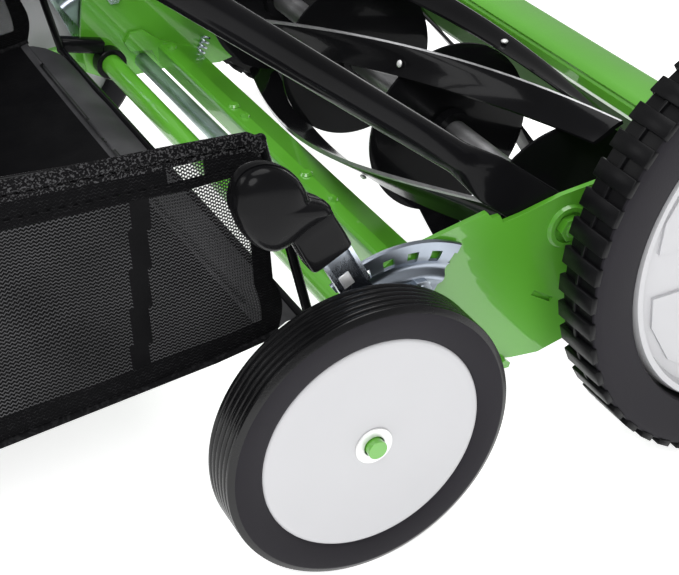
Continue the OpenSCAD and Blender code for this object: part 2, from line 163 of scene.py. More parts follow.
class Finish:
    """One procedural material."""

    def __init__(self, name):
        self.material = bpy.data.materials.new(name)
        self.material.use_nodes = True
        self.tree = self.material.node_tree
        self.shader = self.tree.nodes["Principled BSDF"]

    def node(self, kind, settings=None, inputs=None):
        made = self.tree.nodes.new(kind)
        for key, value in (settings or {}).items():
            setattr(made, key, value)
        for key, value in (inputs or {}).items():
            self.feed(made.inputs[key], value)
        return made

    def feed(self, socket, value):
        if isinstance(value, Value):
            value = value.socket
        if isinstance(value, bpy.types.NodeSocket):
            self.tree.links.new(value, socket)
        elif socket.type == "RGBA" and len(value) == 3:
            socket.default_value = (*value, 1.0)
        else:
            socket.default_value = value

    def out(self, kind, settings=None, inputs=None, output=0):
        return Value(self, self.node(kind, settings, inputs).outputs[output])

    def place(self, scale=(1.0, 1.0, 1.0)):
        """Object coordinates, stretched by scale."""
        where = self.node("ShaderNodeTexCoord").outputs["Object"]
        return self.node("ShaderNodeMapping", None, {"Vector": where, "Scale": scale}).outputs[0]

    def grain(self, scale, detail=2.0, vector=None, rough=0.5):
        vector = vector if vector is not None else self.place()
        return self.out(
            "ShaderNodeTexNoise", None,
            {"Vector": vector, "Scale": scale, "Detail": detail, "Roughness": rough},
        )

    def blend(self, amount, low, high):
        """Mixes two colours; the mix node keeps its colour sockets behind the number ones."""
        first, second, mixed = 6, 7, 2
        made = self.node(
            "ShaderNodeMix", {"data_type": "RGBA"}, {"Factor": amount, first: low, second: high}
        )
        return made.outputs[mixed]

    def bump(self, height, depth, strength=1.0, normal=None):
        inputs = {"Height": height, "Distance": depth, "Strength": strength}
        if normal is not None:
            inputs["Normal"] = normal
        return self.node("ShaderNodeBump", None, inputs).outputs[0]

    def surface(self, **sockets):
        for key, value in sockets.items():
            self.feed(self.shader.inputs[key.replace("_", " ")], value)
        return self.material


def shade_of(colour, factor):
    return tuple(min(1.0, c * factor) for c in colour)


def make_green():
    made = Finish("green_gloss_paint")
    base = tuple(colours().green)
    cloud = made.grain(9.0, 3.0).step(0.35, 0.7)
    peel = made.grain(500.0, 2.0)
    scuff = made.grain(70.0, 6.0, rough=0.7).step(0.70, 0.80)
    colour = made.blend(cloud, shade_of(base, 0.94), shade_of(base, 1.06))
    colour = made.blend(scuff * 0.08, colour, (0.32, 0.62, 0.16))
    return made.surface(
        Base_Color=colour, Roughness=0.30 + cloud * 0.08 + scuff * 0.1,
        Normal=made.bump(peel, 0.00003), Coat_Weight=1.0, Coat_Roughness=0.04, Coat_IOR=1.5,
    )


def dark_gloss(name, base, rough, grain_scale, coat):
    """A near-black gloss finish with faint clouding and dust."""
    made = Finish(name)
    cloud = made.grain(14.0, 3.0).step(0.3, 0.7)
    peel = made.grain(grain_scale, 2.0)
    dust = made.grain(1600.0, 2.0).step(0.72, 0.82)
    colour = made.blend(cloud, base, shade_of(base, 1.5))
    colour = made.blend(dust * 0.04, colour, (0.08, 0.08, 0.08))
    return made.surface(
        Base_Color=colour, Roughness=rough + cloud * 0.05, Specular_IOR_Level=0.05,
        Normal=made.bump(peel, 0.00003), Coat_Weight=coat, Coat_Roughness=0.04, Coat_IOR=1.3,
    )


def make_edge():
    made = Finish("ground_steel")
    lines = made.grain(900.0, 4.0, made.place((1.0, 0.05, 1.0)))
    colour = made.blend(lines, (0.30, 0.30, 0.31), (0.62, 0.62, 0.63))
    return made.surface(
        Base_Color=colour, Metallic=1.0, Roughness=0.28 + lines * 0.2,
        Normal=made.bump(lines, 0.00004),
    )


def plated(name, base, rough):
    """Bright plated metal with faint drawing lines."""
    made = Finish(name)
    cloud = made.grain(40.0, 4.0).step(0.3, 0.75)
    brush = made.grain(500.0, 3.0, made.place((1.0, 1.0, 0.15)))
    colour = made.blend(cloud, shade_of(base, 0.85), shade_of(base, 1.1))
    return made.surface(
        Base_Color=colour, Metallic=1.0, Roughness=rough + cloud * 0.08 + brush * 0.08,
        Normal=made.bump(brush, 0.00002),
    )


def make_rivet():
    made = Finish("rivet_steel")
    spot = made.grain(400.0, 3.0)
    colour = made.blend(spot, (0.70, 0.70, 0.70), (0.85, 0.85, 0.85))
    return made.surface(Base_Color=colour, Metallic=0.6, Roughness=0.45 + spot * 0.1)


def rubbery(name, base, rough, level):
    """Moulded rubber with bloom and fine pores."""
    made = Finish(name)
    bloom = made.grain(18.0, 4.0).step(0.3, 0.75)
    pores = made.grain(1300.0, 3.0)
    colour = made.blend(bloom, base, shade_of(base, 1.3))
    return made.surface(
        Base_Color=colour, Roughness=rough + bloom * 0.08 + pores * 0.04,
        Specular_IOR_Level=level, Normal=made.bump(pores, 0.00006),
    )


def make_hub():
    made = Finish("hub_plastic")
    base = tuple(colours().hub)
    cloud = made.grain(7.0, 3.0).step(0.3, 0.7)
    skin = made.grain(1100.0, 3.0)
    mark = made.grain(45.0, 7.0, rough=0.75).step(0.70, 0.85)
    colour = made.blend(cloud, shade_of(base, 0.97), shade_of(base, 1.03))
    colour = made.blend(mark * 0.12, colour, shade_of(base, 0.85))
    return made.surface(
        Base_Color=colour, Roughness=0.40 + cloud * 0.06, Normal=made.bump(skin, 0.00002),
    )


def make_foam():
    made = Finish("grip_foam")
    cells = made.out(
        "ShaderNodeTexVoronoi", None, {"Vector": made.place(), "Scale": 900.0}
    )
    colour = made.blend(cells.step(0.1, 0.6), (0.010, 0.010, 0.011), (0.030, 0.030, 0.032))
    return made.surface(
        Base_Color=colour, Roughness=0.88, Specular_IOR_Level=0.3, Normal=made.bump(cells, 0.0003)
    )


def weave(made, pitch):
    """Thread and hole masks of a zig-zag knit, read from the cloth's own flat measure."""
    flat = made.node("ShaderNodeUVMap", {"uv_map": "flat"}).outputs[0]
    split = made.node("ShaderNodeSeparateXYZ", None, {"Vector": flat})
    across, along = Value(made, split.outputs[0]), Value(made, split.outputs[1])
    zig = ((across / (pitch * 1.35)).call("FRACT") - 0.5).call("ABSOLUTE") * 2.0
    line = ((along / pitch + zig * 0.55).call("FRACT") - 0.5).call("ABSOLUTE")
    pinch = ((across / (pitch * 0.675)).call("FRACT") - 0.5).call("ABSOLUTE")
    thread = 1.0 - line.step(0.10, 0.24)
    hole = line.step(0.24, 0.34) * pinch.step(0.10, 0.22)
    return thread, hole


def make_mesh():
    made = Finish("catcher_mesh")
    base = tuple(colours().cloth)
    thread, hole = weave(made, sizes().mesh_pitch)
    worn = made.grain(16.0, 3.0).step(0.3, 0.75)
    dark = made.blend(worn, shade_of(base, 0.04), shade_of(base, 0.08))
    light = made.blend(worn, shade_of(base, 1.0), shade_of(base, 1.9))
    return made.surface(
        Base_Color=made.blend(thread, dark, light), Roughness=0.70, Specular_IOR_Level=0.12,
        Alpha=1.0 - hole, Normal=made.bump(thread, 0.0003, 0.6),
    )


def make_hem():
    """Close double cloth with a faint knit."""
    made = Finish("hem_cloth")
    thread, _ = weave(made, sizes().mesh_pitch)
    fuzz = made.grain(900.0, 4.0)
    fleck = made.grain(420.0, 2.0).step(0.50, 0.60)
    colour = made.blend(
        thread * (0.25 + fleck * 0.75), (0.0025, 0.0025, 0.003), (0.012, 0.012, 0.013)
    )
    return made.surface(
        Base_Color=colour, Roughness=0.78, Specular_IOR_Level=0.06,
        Normal=made.bump(thread + fuzz * 0.4, 0.0003),
    )


def make_roll():
    made = Finish("rolled_edge")
    fleck = made.grain(1000.0, 1.0).step(0.50, 0.60)
    colour = made.blend(fleck, (0.003, 0.003, 0.0035), (0.055, 0.055, 0.057))
    return made.surface(
        Base_Color=colour, Roughness=0.75 + fleck * 0.1, Specular_IOR_Level=0.08,
        Normal=made.bump(fleck, 0.0003),
    )


def make_painted_shade():
    # Painted shade: a darker copy of the frame paint that stands in for the shade on the inner face of the
    # shroud's front wall.
    made = Finish("painted_shade_green_paint")
    base = tuple(colours().green)
    cloud = made.grain(9.0, 3.0).step(0.35, 0.7)
    colour = made.blend(cloud, shade_of(base, 0.22), shade_of(base, 0.28))
    return made.surface(
        Base_Color=colour, Roughness=0.42 + cloud * 0.08, Specular_IOR_Level=0.15,
        Normal=made.bump(made.grain(500.0, 2.0), 0.00003), Coat_Weight=0.15, Coat_Roughness=0.1,
    )


def make_vinyl():
    made = Finish("catcher_floor")
    crease = made.grain(11.0, 5.0, rough=0.6)
    skin = made.grain(800.0, 3.0)
    colour = made.blend(crease.step(0.3, 0.7), (0.002, 0.002, 0.0025), (0.006, 0.006, 0.0065))
    return made.surface(
        Base_Color=colour, Roughness=0.42 + crease * 0.12, Specular_IOR_Level=0.04,
        Normal=made.bump(skin, 0.00006, normal=made.bump(crease, 0.003, 0.4)),
    )


def make_strip():
    made = Finish("floor_binding")
    crease = made.grain(24.0, 4.0)
    skin = made.grain(1200.0, 3.0)
    colour = made.blend(crease.step(0.3, 0.7), (0.020, 0.020, 0.022), (0.045, 0.045, 0.048))
    return made.surface(
        Base_Color=colour, Roughness=0.5 + crease * 0.1, Specular_IOR_Level=0.3,
        Normal=made.bump(skin, 0.00006),
    )


def make_floor():
    made = Finish("studio_floor")
    grain = made.grain(4.0, 2.0)
    colour = made.blend(grain, (0.93, 0.93, 0.93), (0.96, 0.96, 0.96))
    return made.surface(
        Base_Color=colour, Roughness=0.95, Specular_IOR_Level=0.0,
        Emission_Color=colour, Emission_Strength=0.8,
    )


MAKERS = {
    "green": make_green,
    "black": lambda: dark_gloss("black_gloss_paint", tuple(colours().black), 0.12, 300.0, 0.15),
    "plastic": lambda: dark_gloss("black_moulding", (0.004, 0.004, 0.0045), 0.24, 900.0, 0.2),
    "edge": make_edge,
    "zinc": lambda: plated("bright_zinc", tuple(colours().zinc), 0.20),
    "sector": lambda: plated("passivated_plate", (0.34, 0.38, 0.44), 0.24),
    "rod": lambda: plated("plated_rod", (0.36, 0.45, 0.43), 0.34),
    "steel": lambda: plated("plain_steel", (0.50, 0.50, 0.51), 0.30),
    "rivet": make_rivet,
    "rubber": lambda: rubbery("moulded_rubber", tuple(colours().rubber), 0.36, 0.13),
    "tread": lambda: rubbery("ribbed_tread", tuple(colours().rubber), 0.20, 0.32),
    "sidewall": lambda: rubbery("tyre_sidewall", (0.0125, 0.0115, 0.0145), 0.52, 0.12),
    "hub": make_hub,
    "foam": make_foam,
    "mesh": make_mesh,
    "hem": make_hem,
    "roll": make_roll,
    "vinyl": make_vinyl,
    "strip": make_strip,
    "shade": make_painted_shade,
    "floor": make_floor,
}
MADE = {}


def finish(name):
    if name not in MADE:
        MADE[name] = MAKERS[name]()
    return MADE[name]


# ---------------------------------------------------------------- mesh helpers


def add_object(name, mesh, materials):
    made = bpy.data.objects.new(name, mesh)
    bpy.context.scene.collection.objects.link(made)
    for key in materials:
        mesh.materials.append(finish(key))
    return made


def mark_corners(work, angle):
    """Leaves only edges that fold by more than angle, in degrees, sharp."""
    limit = math.radians(angle)
    for edge in work.edges:
        edge.smooth = len(edge.link_faces) == 2 and edge.calc_face_angle(0.0) < limit
    for face in work.faces:
        face.smooth = True


def close_up(mesh, angle):
    """Welds, points the faces outwards and marks the corners."""
    work = bmesh.new()
    work.from_mesh(mesh)
    bmesh.ops.remove_doubles(work, verts=work.verts, dist=1e-6)
    bmesh.ops.recalc_face_normals(work, faces=work.faces)
    mark_corners(work, angle)
    work.to_mesh(mesh)
    work.free()
    mesh.update()


def mesh_piece(name, verts, faces, materials, marks=None, angle=50.0):
    mesh = bpy.data.meshes.new(name)
    mesh.from_pydata([tuple(v) for v in verts], [], faces)
    if marks:
        for face, mark in zip(mesh.polygons, marks):
            face.material_index = mark
    close_up(mesh, angle)
    return add_object(name, mesh, materials)


def belongs(piece, body, slot, *nodes):
    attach(piece, body)
    if nodes:
        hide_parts(*nodes)
    return piece


def apply_modifiers(piece):
    """Bakes the live modifiers into a plain mesh."""
    bpy.context.view_layer.update()
    graph = bpy.context.evaluated_depsgraph_get()
    mesh = bpy.data.meshes.new_from_object(piece.evaluated_get(graph))
    piece.modifiers.clear()
    piece.data = mesh
    return piece


def refine(node, key, bevel=0.0, angle=30.0):
    """A welded, softened copy of a CAD node in its real finish."""
    mesh = NODES[node].data.copy()
    mesh.materials.clear()
    work = bmesh.new()
    work.from_mesh(mesh)
    bmesh.ops.remove_doubles(work, verts=work.verts, dist=2e-6)
    bmesh.ops.dissolve_limit(
        work, angle_limit=math.radians(0.6), verts=work.verts, edges=work.edges
    )
    mark_corners(work, angle)
    for face in work.faces:
        face.material_index = 0
    work.to_mesh(mesh)
    work.free()
    piece = add_object("fin_" + node, mesh, [key])
    if bevel:
        soft = piece.modifiers.new("soft_edge", "BEVEL")
        soft.width, soft.segments = bevel, 2
        soft.limit_method, soft.angle_limit = "ANGLE", math.radians(angle)
        soft.harden_normals = True
        apply_modifiers(piece)
    return belongs(piece, BODY_OF[node], SLOT_OF[node], node)


def quads(rows, wide, closed=True, first=0):
    """Faces between neighbouring rows of wide points, joined round if closed."""
    return [
        (a + i, a + (i + 1) % wide, a + wide + (i + 1) % wide, a + wide + i)
        for a in range(first, first + (rows - 1) * wide, wide)
        for i in range(wide if closed else wide - 1)
    ]


def revolve(name, outline, axis, materials, marks=None, steps=192, angle=30.0):
    """Turns a closed outline of (radius, y) about an axle along Y."""
    count = len(outline)
    verts = [
        (axis.x + r * math.cos(a), y, axis.z + r * math.sin(a))
        for a in (2 * math.pi * k / steps for k in range(steps))
        for r, y in outline
    ]
    faces = [tuple(at % len(verts) for at in face) for face in quads(steps + 1, count)]
    return mesh_piece(name, verts, faces, materials, marks and marks * steps, angle)


def loft(name, rings, materials):
    """Skins a row of closed rings and closes both ends."""
    count, sides = len(rings), len(rings[0])
    faces = quads(count, sides)
    faces.append(tuple(range(sides))[::-1])
    faces.append(tuple((count - 1) * sides + k for k in range(sides)))
    return mesh_piece(name, [p for row in rings for p in row], faces, materials)


def turns(sides):
    """Cosine and sine of each step round a circle."""
    steps = (2 * math.pi * k / sides for k in range(sides))
    return [(math.cos(a), math.sin(a)) for a in steps]


def squarish(value, power):
    """Bends a cosine or sine so that the circle becomes a rounded box."""
    return math.copysign(abs(value) ** power, value)


def mirrored(outline, sign, shift=0.0):
    """A (radius, y) outline for one side of the mower."""
    return [(r, shift + sign * y) for r, y in outline]


def tube_along(name, points, radius, materials, sides):
    """A round cord along points."""
    rings, normal = [], None
    for i, p in enumerate(points):
        tangent = (points[min(i + 1, len(points) - 1)] - points[max(i - 1, 0)]).normalized()
        if normal is None:
            normal = tangent.orthogonal().normalized()
        normal = (normal - tangent * normal.dot(tangent)).normalized()
        other = tangent.cross(normal)
        rings.append([p + normal * (radius * c) + other * (radius * d) for c, d in turns(sides)])
    return loft(name, rings, materials)


def from_bmesh(name, work, materials):
    """An object from a bmesh, which is freed."""
    mesh = bpy.data.meshes.new(name)
    work.to_mesh(mesh)
    work.free()
    close_up(mesh, 60.0)
    return add_object(name, mesh, materials)


def rounded_block(name, size, bevel, materials):
    """A moulded block with soft edges."""
    work = bmesh.new()
    bmesh.ops.create_cube(work, size=1.0)
    bmesh.ops.scale(work, vec=size, verts=work.verts)
    bmesh.ops.bevel(
        work, geom=work.edges[:], offset=bevel, segments=1, affect="EDGES", profile=0.5
    )
    return from_bmesh(name, work, materials)


def placed(piece, spot, lean):
    """Turns a piece about Y and sets its mesh at a spot."""
    piece.data.transform(Matrix.Translation(spot) @ Matrix.Rotation(lean, 4, "Y"))
    return piece


# ---------------------------------------------------------------- geometry nodes


class Rule:
    """One Geometry Nodes tree with named inputs."""

    def __init__(self, name, inputs):
        self.tree = bpy.data.node_groups.new(name, "GeometryNodeTree")
        face = self.tree.interface
        face.new_socket("Geometry", in_out="INPUT", socket_type="NodeSocketGeometry")
        for label, kind in inputs:
            face.new_socket(label, in_out="INPUT", socket_type=kind)
        face.new_socket("Geometry", in_out="OUTPUT", socket_type="NodeSocketGeometry")
        self.start = self.tree.nodes.new("NodeGroupInput").outputs
        self.end = self.tree.nodes.new("NodeGroupOutput").inputs

    def node(self, kind, settings=None, inputs=None):
        made = self.tree.nodes.new(kind)
        for key, value in (settings or {}).items():
            setattr(made, key, value)
        for key, value in (inputs or {}).items():
            if isinstance(value, bpy.types.NodeSocket):
                self.tree.links.new(value, made.inputs[key])
            else:
                made.inputs[key].default_value = value
        return made

    def out(self, kind, inputs, settings=None):
        return self.node(kind, settings, inputs).outputs[0]

    def sum(self, operation, first, second):
        return self.out("ShaderNodeMath", {0: first, 1: second}, {"operation": operation})

    def close(self, geometry, material):
        whole = self.out("GeometryNodeRealizeInstances", {"Geometry": geometry})
        done = self.out("GeometryNodeSetMaterial", {"Geometry": whole, "Material": material})
        self.tree.links.new(done, self.end[0])
        return self.tree


def ring_rule():
    """Repeats the modified object round an axle along Y."""
    rule = Rule("ring_of_pieces", [
        ("Count", "NodeSocketInt"), ("Radius", "NodeSocketFloat"), ("Phase", "NodeSocketFloat"),
        ("Centre", "NodeSocketVector"), ("Material", "NodeSocketMaterial"),
    ])
    start = rule.start
    index = rule.out("GeometryNodeInputIndex", None)
    share = rule.sum("DIVIDE", index, start["Count"])
    turn = rule.sum("ADD", rule.sum("MULTIPLY", share, 2 * math.pi), start["Phase"])
    east = rule.sum("MULTIPLY", rule.sum("COSINE", turn, 0.0), start["Radius"])
    north = rule.sum("MULTIPLY", rule.sum("SINE", turn, 0.0), start["Radius"])
    spot = rule.out("ShaderNodeCombineXYZ", {0: east, 2: north})
    away = rule.out("ShaderNodeVectorMath", {0: spot, 1: start["Centre"]}, {"operation": "ADD"})
    points = rule.out("GeometryNodePoints", {"Count": start["Count"], "Position": away})
    euler = rule.out("ShaderNodeCombineXYZ", {1: rule.sum("MULTIPLY", turn, -1.0)})
    copies = rule.out(
        "GeometryNodeInstanceOnPoints",
        {"Points": points, "Instance": start["Geometry"], "Rotation": euler},
    )
    return rule.close(copies, start["Material"])


def path_rule():
    """Repeats a small piece along the modified edge path, turned with it."""
    rule = Rule("pieces_along_path", [
        ("Gap", "NodeSocketFloat"), ("Length", "NodeSocketFloat"), ("Thickness", "NodeSocketFloat"),
        ("Material", "NodeSocketMaterial"),
    ])
    start = rule.start
    curve = rule.out("GeometryNodeMeshToCurve", {"Mesh": start["Geometry"]})
    dots = rule.node(
        "GeometryNodeCurveToPoints", {"mode": "LENGTH"}, {"Curve": curve, "Length": start["Gap"]}
    )
    thread = rule.out("GeometryNodeMeshIcoSphere", {"Radius": 1.0, "Subdivisions": 1})
    thick = start["Thickness"]
    shape = rule.out("ShaderNodeCombineXYZ", {0: thick, 1: thick, 2: start["Length"]})
    copies = rule.out("GeometryNodeInstanceOnPoints", {
        "Points": dots.outputs["Points"], "Instance": thread,
        "Rotation": dots.outputs["Rotation"], "Scale": shape,
    })
    return rule.close(copies, start["Material"])


def coil_rule():
    """A close coil of wire along Z."""
    rule = Rule("wire_coil", [
        ("Turns", "NodeSocketFloat"), ("Radius", "NodeSocketFloat"), ("Height", "NodeSocketFloat"),
        ("Wire", "NodeSocketFloat"), ("Base", "NodeSocketVector"), ("Lean", "NodeSocketVector"),
        ("Material", "NodeSocketMaterial"),
    ])
    start = rule.start
    spiral = rule.out("GeometryNodeCurveSpiral", {
        "Resolution": 24, "Rotations": start["Turns"], "Start Radius": start["Radius"],
        "End Radius": start["Radius"], "Height": start["Height"],
    })
    section = rule.out("GeometryNodeCurvePrimitiveCircle", {"Resolution": 10, "Radius": start["Wire"]})
    wire = rule.out(
        "GeometryNodeCurveToMesh", {"Curve": spiral, "Profile Curve": section, "Fill Caps": True}
    )
    moved = rule.out(
        "GeometryNodeTransform",
        {"Geometry": wire, "Translation": start["Base"], "Rotation": start["Lean"]},
    )
    smooth = rule.out("GeometryNodeSetShadeSmooth", {"Geometry": moved})
    return rule.close(smooth, start["Material"])


RULES = {}


def run_rule(piece, maker, values):
    """Runs a tree on piece and leaves a plain mesh."""
    if maker not in RULES:
        RULES[maker] = maker()
    tree = RULES[maker]
    live = piece.modifiers.new("rule", "NODES")
    live.node_group = tree
    for item in tree.interface.items_tree:
        if item.in_out == "INPUT" and item.name in values:
            live[item.identifier] = values[item.name]
    piece.data.materials.clear()
    return apply_modifiers(piece)


def line_piece(name, points=()):
    """A line of joined points for a rule to work on."""
    line = bpy.data.meshes.new(name)
    line.from_pydata([tuple(p) for p in points], [(i, i + 1) for i in range(len(points) - 1)], [])
    return add_object(name, line, [])


def ring(template, count, radius, centre, key, phase=0.0):
    return run_rule(template, ring_rule, {
        "Count": count, "Radius": radius, "Phase": phase,
        "Centre": tuple(centre), "Material": finish(key),
    })


# ---------------------------------------------------------------- pieces


class MOWER_OT_chassis(bpy.types.Operator):
    """Paints and softens the side plates, shroud, rods, quadrants and fittings"""

    bl_idname = "mower.chassis"
    bl_label = "Chassis"

    def quadrant(self, side, sign):
        """Dished sector with a raised rib and a row of square windows near its rim."""
        profile = [
            (0.0720, 0.2136), (0.0719, 0.2150), (0.0712, 0.2156), (0.0690, 0.2156), (0.0665, 0.2155),
            (0.0640, 0.2154), (0.0618, 0.2152), (0.0604, 0.2146), (0.0590, 0.2137), (0.0572, 0.2134),
            (0.0556, 0.2142), (0.0542, 0.2158), (0.0524, 0.2168), (0.0506, 0.2166), (0.0492, 0.2154),
            (0.0478, 0.2146), (0.0440, 0.2146), (0.0380, 0.2146), (0.0250, 0.2146),
        ]
        start, stop, steps = 62.0, 123.0, 122
        window_row, window_pitch, window_width, window_start = (4, 5, 6), 12.0, 6.5, 63.5
        cut_back, cut_radius, cut_depth = 3.5, 0.066, 0.03
        wide = len(profile)
        verts, faces = [], []
        for k in range(steps + 1):
            share = k / steps
            for r, y in profile:
                trim = cut_back * max(0.0, (cut_radius - r) / cut_depth) * max(0.0, 1 - 2 * share)
                a = math.radians(start + (stop - start) * share + trim)
                verts.append((CRANK.x + r * math.cos(a), sign * y, CRANK.z + r * math.sin(a)))
        for k in range(steps):
            turn = start + (stop - start) * (k + 0.5) / steps - window_start
            for i in range(wide - 1):
                if i in window_row and turn % window_pitch > window_width:
                    continue
                a = k * wide + i
                faces.append((a, a + 1, a + wide + 1, a + wide))
        mesh = bpy.data.meshes.new("quadrant_sector_" + side)
        mesh.from_pydata(verts, [], faces)
        piece = add_object("quadrant_sector_" + side, mesh, ["sector"])
        fold = 40.0
        close_up(mesh, fold)
        thick = piece.modifiers.new("sheet", "SOLIDIFY")
        thick.thickness, thick.offset = 0.0016, sign
        apply_modifiers(piece)
        close_up(piece.data, fold)
        return belongs(piece, "chassis", "zinc", "quadrant_" + side)

    def execute(self, context):
        for side, sign in SIDES:
            refine("plate_" + side, "green", 0.0007)
            self.quadrant(side, sign)
            refine("quadrant_bolt_" + side, "zinc", 0.0003)
            refine("axle_" + side, "zinc")
            refine("bearing_" + side, "steel")
            refine("pivot_bolt_" + side, "green", 0.0003)
            web = rounded_block("slot_web_" + side, (0.016, 0.0012, 0.0042), 0.0004, ["green"])
            placed(web, (0.33035, sign * 0.2099, 0.0939), math.radians(33.0))
            belongs(web, "chassis", "green_paint")
        shroud = refine("shroud", "green", 0.0005)
        # Painted shade: the inward faces of the shroud's front wall take the darker copy of the green paint, to
        # stand in for the shade inside the shroud.
        shroud.data.materials.append(finish("shade"))
        front, back = DRIVE.x + 0.02, DRIVE.x + 0.029
        for face in shroud.data.polygons:
            if face.normal.x < -0.5 and front < face.center.x < back:
                face.material_index = 1
        refine("tie_rod", "rod", 0.0002)
        return {"FINISHED"}


class MOWER_OT_bed(bpy.types.Operator):
    """Paints the bed bar and grinds the bed knife"""

    bl_idname = "mower.bed"
    bl_label = "Bed knife"

    def execute(self, context):
        refine("bed_bar", "green", 0.0005)
        refine("bed_knife", "edge", 0.0002)
        for k in (1, 2, 3):
            refine(f"knife_screw_{k}", "green", 0.0003)
        studs = line_piece("bed_studs", [(0.28905, y, 0.0832) for y in (-0.1782, 0.1968)])
        run_rule(studs, path_rule, {
            "Gap": 0.107, "Length": 0.0040, "Thickness": 0.0034, "Material": finish("green"),
        })
        belongs(studs, "bed", "green_paint")
        return {"FINISHED"}


class MOWER_OT_springs(bpy.types.Operator):
    """Winds the return springs"""

    bl_idname = "mower.springs"
    bl_label = "Return springs"

    def execute(self, context):
        for side, sign in SIDES:
            low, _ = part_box("spring_" + side)
            foot = Vector((low.x + 0.0052, sign * 0.2048, low.z + 0.0035))
            coil = run_rule(line_piece("coil_" + side), coil_rule, {
                "Turns": float(sizes().spring_turns), "Radius": 0.0030, "Height": 0.031,
                "Wire": 0.00085, "Base": tuple(foot), "Lean": (0.0, math.radians(25.6), 0.0),
                "Material": finish("zinc"),
            })
            belongs(coil, "chassis", "zinc", "spring_" + side)
        return {"FINISHED"}


BLADES = 5
BLADE_LENGTH = 0.401
BLADE_TWIST = 109.0  # degrees from the right end to the left one
FIRST_BLADE = 77.0


def blade_angle(index, y):
    """Angle of a blade's cutting edge at y, from +X towards +Z."""
    along = y / BLADE_LENGTH + 0.5
    return math.radians(FIRST_BLADE + 360.0 / BLADES * (index - 1) + BLADE_TWIST * along)


class MOWER_OT_reel(bpy.types.Operator):
    """Builds the twisted blades with ground edges, and the spiders, with rivets on one of them"""

    bl_idname = "mower.reel"
    bl_label = "Reel"

    SECTION = [
        (0.0649, -0.0012), (0.0667, 0.0002), (0.0663, 0.0014), (0.0632, 0.0056), (0.0600, 0.0088),
        (0.0570, 0.0122), (0.0548, 0.0152), (0.0536, 0.0148), (0.0533, 0.0138), (0.0555, 0.0102),
        (0.0585, 0.0066), (0.0618, 0.0030),
    ]
    GROUND = (0, 1)  # edges of the section that are ground bright
    DISC = [
        (0.0080, -0.007), (0.0130, -0.007), (0.0140, -0.0015), (0.0500, -0.0015), (0.0545, -0.0006),
        (0.0545, 0.0010), (0.0500, 0.0012), (0.0140, 0.0015), (0.0130, 0.007), (0.0080, 0.007),
    ]
    SPIDERS = 4
    RIVETED = 2  # the one spider whose rivets are seen

    def blade(self, index, steps=140):
        section = self.SECTION
        count = len(section)
        verts = []
        for s in range(steps + 1):
            y = BLADE_LENGTH * (s / steps - 0.5)
            a = blade_angle(index, y)
            c, d = math.cos(a), math.sin(a)
            for u, v in section:
                verts.append((REEL.x + u * c - v * d, y, REEL.z + u * d + v * c))
        faces = quads(steps + 1, count)
        faces.append(tuple(range(count)))
        faces.append(tuple(steps * count + i for i in range(count))[::-1])
        marks = [int(i in self.GROUND) for i in range(count)] * steps + [0, 0]
        return mesh_piece(f"reel_blade_{index}", verts, faces, ["black", "edge"], marks, 40.0)

    def rivets(self, name, y):
        """Oval heads near the rim, one ahead of each blade."""
        work = bmesh.new()
        bmesh.ops.create_uvsphere(work, u_segments=20, v_segments=12, radius=1.0)
        work.transform(
            Matrix.Translation((0.0, 0.0, 0.0104)) @ Matrix.Rotation(math.radians(43.0), 4, "Y")
            @ Matrix.Diagonal((0.0022, 0.0022, 0.0012, 1.0))
        )
        heads = from_bmesh(name, work, ["rivet"])
        return ring(heads, BLADES, 0.0605, (REEL.x, y, REEL.z), "rivet", blade_angle(1, y))

    def execute(self, context):
        for index in range(1, BLADES + 1):
            belongs(self.blade(index), "reel", "black_paint", f"blade_{index}")
        for index in range(1, self.SPIDERS + 1):
            node = f"spider_{index}"
            low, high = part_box(node)
            y = (low.y + high.y) / 2
            outline = mirrored(self.DISC, 1.0, y)
            disc = revolve("reel_" + node, outline, REEL, ["black"], None, 120, 25.0)
            belongs(disc, "reel", "black_paint", node)
            if index == self.RIVETED:
                belongs(self.rivets(f"rivets_{index}", y), "reel", "steel")
        refine("reel_shaft", "steel")
        for side, _ in SIDES:
            refine("pinion_" + side, "steel", 0.0002)
        return {"FINISHED"}


class MOWER_OT_drive_wheels(bpy.types.Operator):
    """Moulds the drive tyres with raised cross bars and a middle rib, and the hub discs"""

    bl_idname = "mower.drive_wheels"
    bl_label = "Drive wheels"

    CARCASS = [
        (0.0999, 0.2480), (0.1030, 0.2456), (0.1190, 0.2450), (0.1234, 0.2458), (0.1243, 0.2470),
        (0.1244, 0.2564), (0.1259, 0.2567), (0.1262, 0.2570), (0.1262, 0.2584), (0.1259, 0.2587),
        (0.1244, 0.2590), (0.1243, 0.2706), (0.1238, 0.2716), (0.1222, 0.2723), (0.1190, 0.2726),
        (0.1040, 0.2724), (0.1022, 0.2716), (0.1008, 0.2716), (0.0999, 0.2700),
    ]
    WALL = (0, 1, 11, 12, 13, 14, 15, 16, 17)  # edges of the outline outside the tread
    BAR_HEIGHT, BAR_LENGTH, BAR_SHARE = 0.0036, 0.0272, 0.60
    TREAD_RADIUS, BAR_RADIUS, TREAD_MIDDLE = 0.1245, 0.1250, 0.2588

    def execute(self, context):
        count = sizes().bar_count
        width = 2 * math.pi * self.TREAD_RADIUS / count * self.BAR_SHARE
        marks = [1 if i in self.WALL else 0 for i in range(len(self.CARCASS))]
        for side, sign in SIDES:
            body = "drive_wheel_" + side
            carcass = revolve(
                "drive_tyre_" + side, mirrored(self.CARCASS, sign), DRIVE,
                ["rubber", "sidewall"], marks, 240,
            )
            belongs(carcass, body, "tyre", "tyre_" + side)
            size = (self.BAR_HEIGHT, self.BAR_LENGTH, width)
            block = rounded_block("tread_" + side, size, 0.0004, ["rubber"])
            middle = (DRIVE.x, sign * self.TREAD_MIDDLE, DRIVE.z)
            ring(block, count, self.BAR_RADIUS, middle, "rubber")
            belongs(block, body, "tyre")
            refine("wheel_" + side, "hub", 0.0006)
        return {"FINISHED"}


